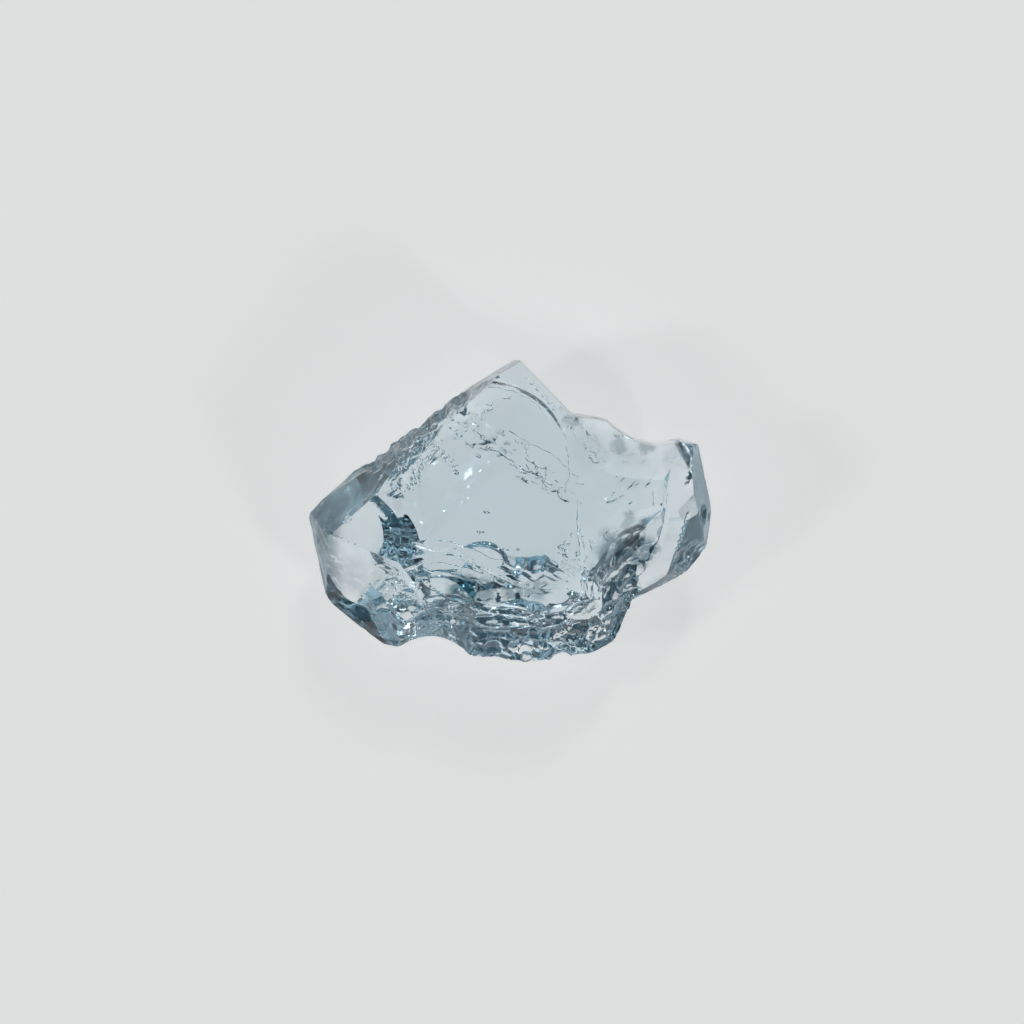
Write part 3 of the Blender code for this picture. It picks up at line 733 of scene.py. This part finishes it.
def ramp_of(tree, source, stops):
    """A grey ramp over a 0 to 1 source."""
    ramp = tree.nodes.new("ShaderNodeValToRGB")
    for end in ramp.color_ramp.elements:
        end.color = (0, 0, 0, 1)
    for position, value in stops:
        ramp.color_ramp.elements.new(position).color = (value, value, value, 1)
    tree.links.new(source, ramp.inputs[0])
    return ramp.outputs[0]


def combine(tree, operation, one, two):
    """One arithmetic step on two values, each a number or the socket of one."""
    node = tree.nodes.new("ShaderNodeMath")
    node.operation = operation
    for socket, value in zip(node.inputs, (one, two)):
        if isinstance(value, float):
            socket.default_value = value
        else:
            tree.links.new(value, socket)
    return node.outputs[0]


def rise(tree, source, between):
    """A soft climb from 0 to 1 between two values."""
    climb = tree.nodes.new("ShaderNodeMapRange")
    climb.interpolation_type = "SMOOTHSTEP"
    climb.inputs["From Min"].default_value = between[0]
    climb.inputs["From Max"].default_value = between[1]
    tree.links.new(source, climb.inputs["Value"])
    return climb.outputs[0]


def painted_shades(tree, place, height):
    """Soft-edged painted shade on the upper half, its outlines warped by a slow noise."""
    slow = tree.nodes.new("ShaderNodeTexNoise")
    slow.inputs["Scale"].default_value = SHADE_WAVES
    tree.links.new(place.outputs["Object"], slow.inputs["Vector"])
    moved = tree.nodes.new("ShaderNodeVectorMath")
    moved.operation = "MULTIPLY_ADD"
    moved.inputs[1].default_value = (SHADE_WARP, SHADE_WARP, 0.0)
    tree.links.new(slow.outputs["Color"], moved.inputs[0])
    tree.links.new(place.outputs["Object"], moved.inputs[2])
    flat = tree.nodes.new("ShaderNodeVectorMath")
    flat.operation = "MULTIPLY"
    flat.inputs[1].default_value = (1.0, 1.0, 0.0)
    tree.links.new(moved.outputs[0], flat.inputs[0])
    darkest = 0.0
    for x, y, radius, strength in SHADES:
        away = tree.nodes.new("ShaderNodeVectorMath")
        away.operation = "DISTANCE"
        away.inputs[1].default_value = (x + SHADE_WARP / 2, y + SHADE_WARP / 2, 0.0)
        tree.links.new(flat.outputs[0], away.inputs[0])
        near = rise(tree, away.outputs["Value"], (radius, radius * 0.4))
        darkest = combine(tree, "MAXIMUM", darkest, combine(tree, "MULTIPLY", near, strength))
    return combine(tree, "MULTIPLY", darkest, rise(tree, height, SHADE_BASE))


def satin(tree, shader, apart, height, grain):
    """Glassy broad flats and front, and a satin of fine hackle on the back slopes and underneath."""
    back = rise(tree, apart.outputs["Y"], SATIN_FRONT)
    over = combine(tree, "MULTIPLY", ramp_of(tree, height, SATIN_OVER), back)
    strength = combine(tree, "ADD", over, ramp_of(tree, height, SATIN_UNDER))
    tree.links.new(combine(tree, "MULTIPLY", strength, grain.outputs[0]), shader.inputs["Roughness"])
    bump = tree.nodes.new("ShaderNodeBump")
    bump.inputs["Distance"].default_value = BUMP_HEIGHT
    tree.links.new(grain.outputs[0], bump.inputs["Height"])
    tree.links.new(over, bump.inputs["Strength"])
    tree.links.new(bump.outputs[0], shader.inputs["Normal"])


def dark_left_and_shaded_back(tree, place, apart):
    """Where the tint darkens: the left end, and the back left as painted shade."""
    outward = tree.nodes.new("ShaderNodeVectorMath")
    outward.operation = "DOT_PRODUCT"
    outward.inputs[1].default_value = PAINTED_SHADE_BACK_WAY
    tree.links.new(place.outputs["Object"], outward.inputs[0])
    left = rise(tree, apart.outputs["X"], DARK_TINT_LEFT)
    behind = rise(tree, outward.outputs["Value"], PAINTED_SHADE_BACK)
    return combine(tree, "MAXIMUM", left, combine(tree, "MULTIPLY", behind, PAINTED_SHADE_BACK_SHARE))


def mixed(tree, share, ground, colour):
    """Mixes a colour over a ground, which is a colour too or the socket of one."""
    mix = tree.nodes.new("ShaderNodeMix")
    mix.data_type = "RGBA"
    mix.inputs["B"].default_value = colour
    tree.links.new(share, mix.inputs["Factor"])
    if isinstance(ground, tuple):
        mix.inputs["A"].default_value = ground
    else:
        tree.links.new(ground, mix.inputs["A"])
    return mix.outputs["Result"]


def skin_of(tree, shader):
    """Satin and tint of the skin, with a darker left end and painted shade, broken up by one fine grain."""
    place = tree.nodes.new("ShaderNodeTexCoord")
    apart = tree.nodes.new("ShaderNodeSeparateXYZ")
    tree.links.new(place.outputs["Object"], apart.inputs[0])
    grain = tree.nodes.new("ShaderNodeTexNoise")
    grain.inputs["Scale"].default_value = GRAIN_SCALE
    grain.inputs["Detail"].default_value = GRAIN_DETAIL
    tree.links.new(place.outputs["Object"], grain.inputs["Vector"])
    height = combine(tree, "DIVIDE", apart.outputs["Z"], float(cad_high[2]))
    satin(tree, shader, apart, height, grain)
    blotchy = rise(tree, grain.outputs[0], GRAIN_BLOTCH)
    # darker tint at the left end, and painted shade along the back left
    darkened = combine(tree, "MULTIPLY", dark_left_and_shaded_back(tree, place, apart), blotchy)
    # painted shade over the scoop, the front, the left and the wing
    painted_shade = combine(tree, "MULTIPLY", painted_shades(tree, place, height), blotchy)
    tinted = mixed(tree, painted_shade, mixed(tree, darkened, CLEAR, DARK_TINT), SHADE)
    tree.links.new(tinted, shader.inputs["Base Color"])


def beryl():
    material = bpy.data.materials.new("clear_beryl")
    material.use_nodes = True
    tree = material.node_tree
    shader = tree.nodes["Principled BSDF"]
    skin_of(tree, shader)
    shader.inputs["IOR"].default_value = IOR
    shader.inputs["Transmission Weight"].default_value = 1.0
    takes = tree.nodes.new("ShaderNodeVolumeAbsorption")
    takes.inputs["Color"].default_value = ABSORBED
    takes.inputs["Density"].default_value = DENSITY
    tree.links.new(takes.outputs[0], tree.nodes["Material Output"].inputs["Volume"])
    return material


def make_crystal():
    crystal = bpy.data.objects.new("crystal", crystal_mesh())
    bpy.context.scene.collection.objects.link(crystal)
    crystal.data.materials.append(beryl())
    crystal.data.shade_smooth()
    crystal.data.set_sharp_from_angle(angle=radians(SHARP_ANGLE))
    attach(crystal, "root")
    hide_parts("aquamarine")
    return crystal


# ---- stage -----------------------------------------------------------------------------------------
def make_floor():
    mesh = bpy.data.meshes.new("floor")
    h = FLOOR_HALF
    z = -FLOOR_GAP
    mesh.from_pydata([(-h, -h, z), (h, -h, z), (h, h, z), (-h, h, z)], [], [(0, 1, 2, 3)])
    floor = bpy.data.objects.new("floor", mesh)
    bpy.context.scene.collection.objects.link(floor)
    material = bpy.data.materials.new("pale_lit_table")
    material.use_nodes = True
    shader = material.node_tree.nodes["Principled BSDF"]
    shader.inputs["Base Color"].default_value = (FLOOR_COLOUR, FLOOR_COLOUR, FLOOR_COLOUR, 1)
    shader.inputs["Roughness"].default_value = 0.9
    shader.inputs["Specular IOR Level"].default_value = 0.0
    shader.inputs["Emission Color"].default_value = (1, 1, 1, 1)
    shader.inputs["Emission Strength"].default_value = FLOOR_GLOW
    mesh.materials.append(material)


def make_sky():
    world = bpy.data.worlds.new("studio")
    bpy.context.scene.world = world
    world.use_nodes = True
    tree = world.node_tree
    place = tree.nodes.new("ShaderNodeTexCoord")
    split = tree.nodes.new("ShaderNodeSeparateXYZ")
    ramp = tree.nodes.new("ShaderNodeValToRGB")
    tree.links.new(place.outputs["Generated"], split.inputs[0])
    tree.links.new(split.outputs["Z"], ramp.inputs[0])
    tree.links.new(ramp.outputs[0], tree.nodes["Background"].inputs["Color"])
    stops = ramp.color_ramp
    stops.elements[0].position = 0.0
    stops.elements[0].color = SKY_LOW
    stops.elements[1].position = SKY_TOP_AT
    stops.elements[1].color = SKY_TOP


def soft_light(name, at):
    lamp = bpy.data.lights.new(name, "AREA")
    lamp.shape = "DISK"
    lamp.size = LIGHT_SIZE
    lamp.energy = LIGHT_WATTS
    light = bpy.data.objects.new(name, lamp)
    bpy.context.scene.collection.objects.link(light)
    light.location = at
    light.rotation_mode = "QUATERNION"
    light.rotation_quaternion = (-Vector(at)).to_track_quat("-Z", "Y")


def make_camera():
    lens = bpy.data.cameras.new("camera")
    lens.lens = CAMERA_LENS
    lens.sensor_width = SENSOR
    lens.clip_start = 0.001
    camera = bpy.data.objects.new("camera", lens)
    bpy.context.scene.collection.objects.link(camera)
    width = PICTURE_WIDTH / PIXELS_PER_MM * 0.001
    camera.location = (EYE_SHIFT[0], EYE_SHIFT[1], EYE_LEVEL + width * CAMERA_LENS / SENSOR)
    bpy.context.scene.camera = camera


make_crystal()
make_floor()
make_sky()
for lamp_name, lamp_place in LIGHTS:
    soft_light(lamp_name, lamp_place)
make_camera()
bpy.context.scene.view_settings.view_transform = "Standard"
bpy.context.scene.cycles.max_bounces = BOUNCES
bpy.context.scene.cycles.transmission_bounces = BOUNCES
bpy.context.scene.cycles.glossy_bounces = BOUNCES
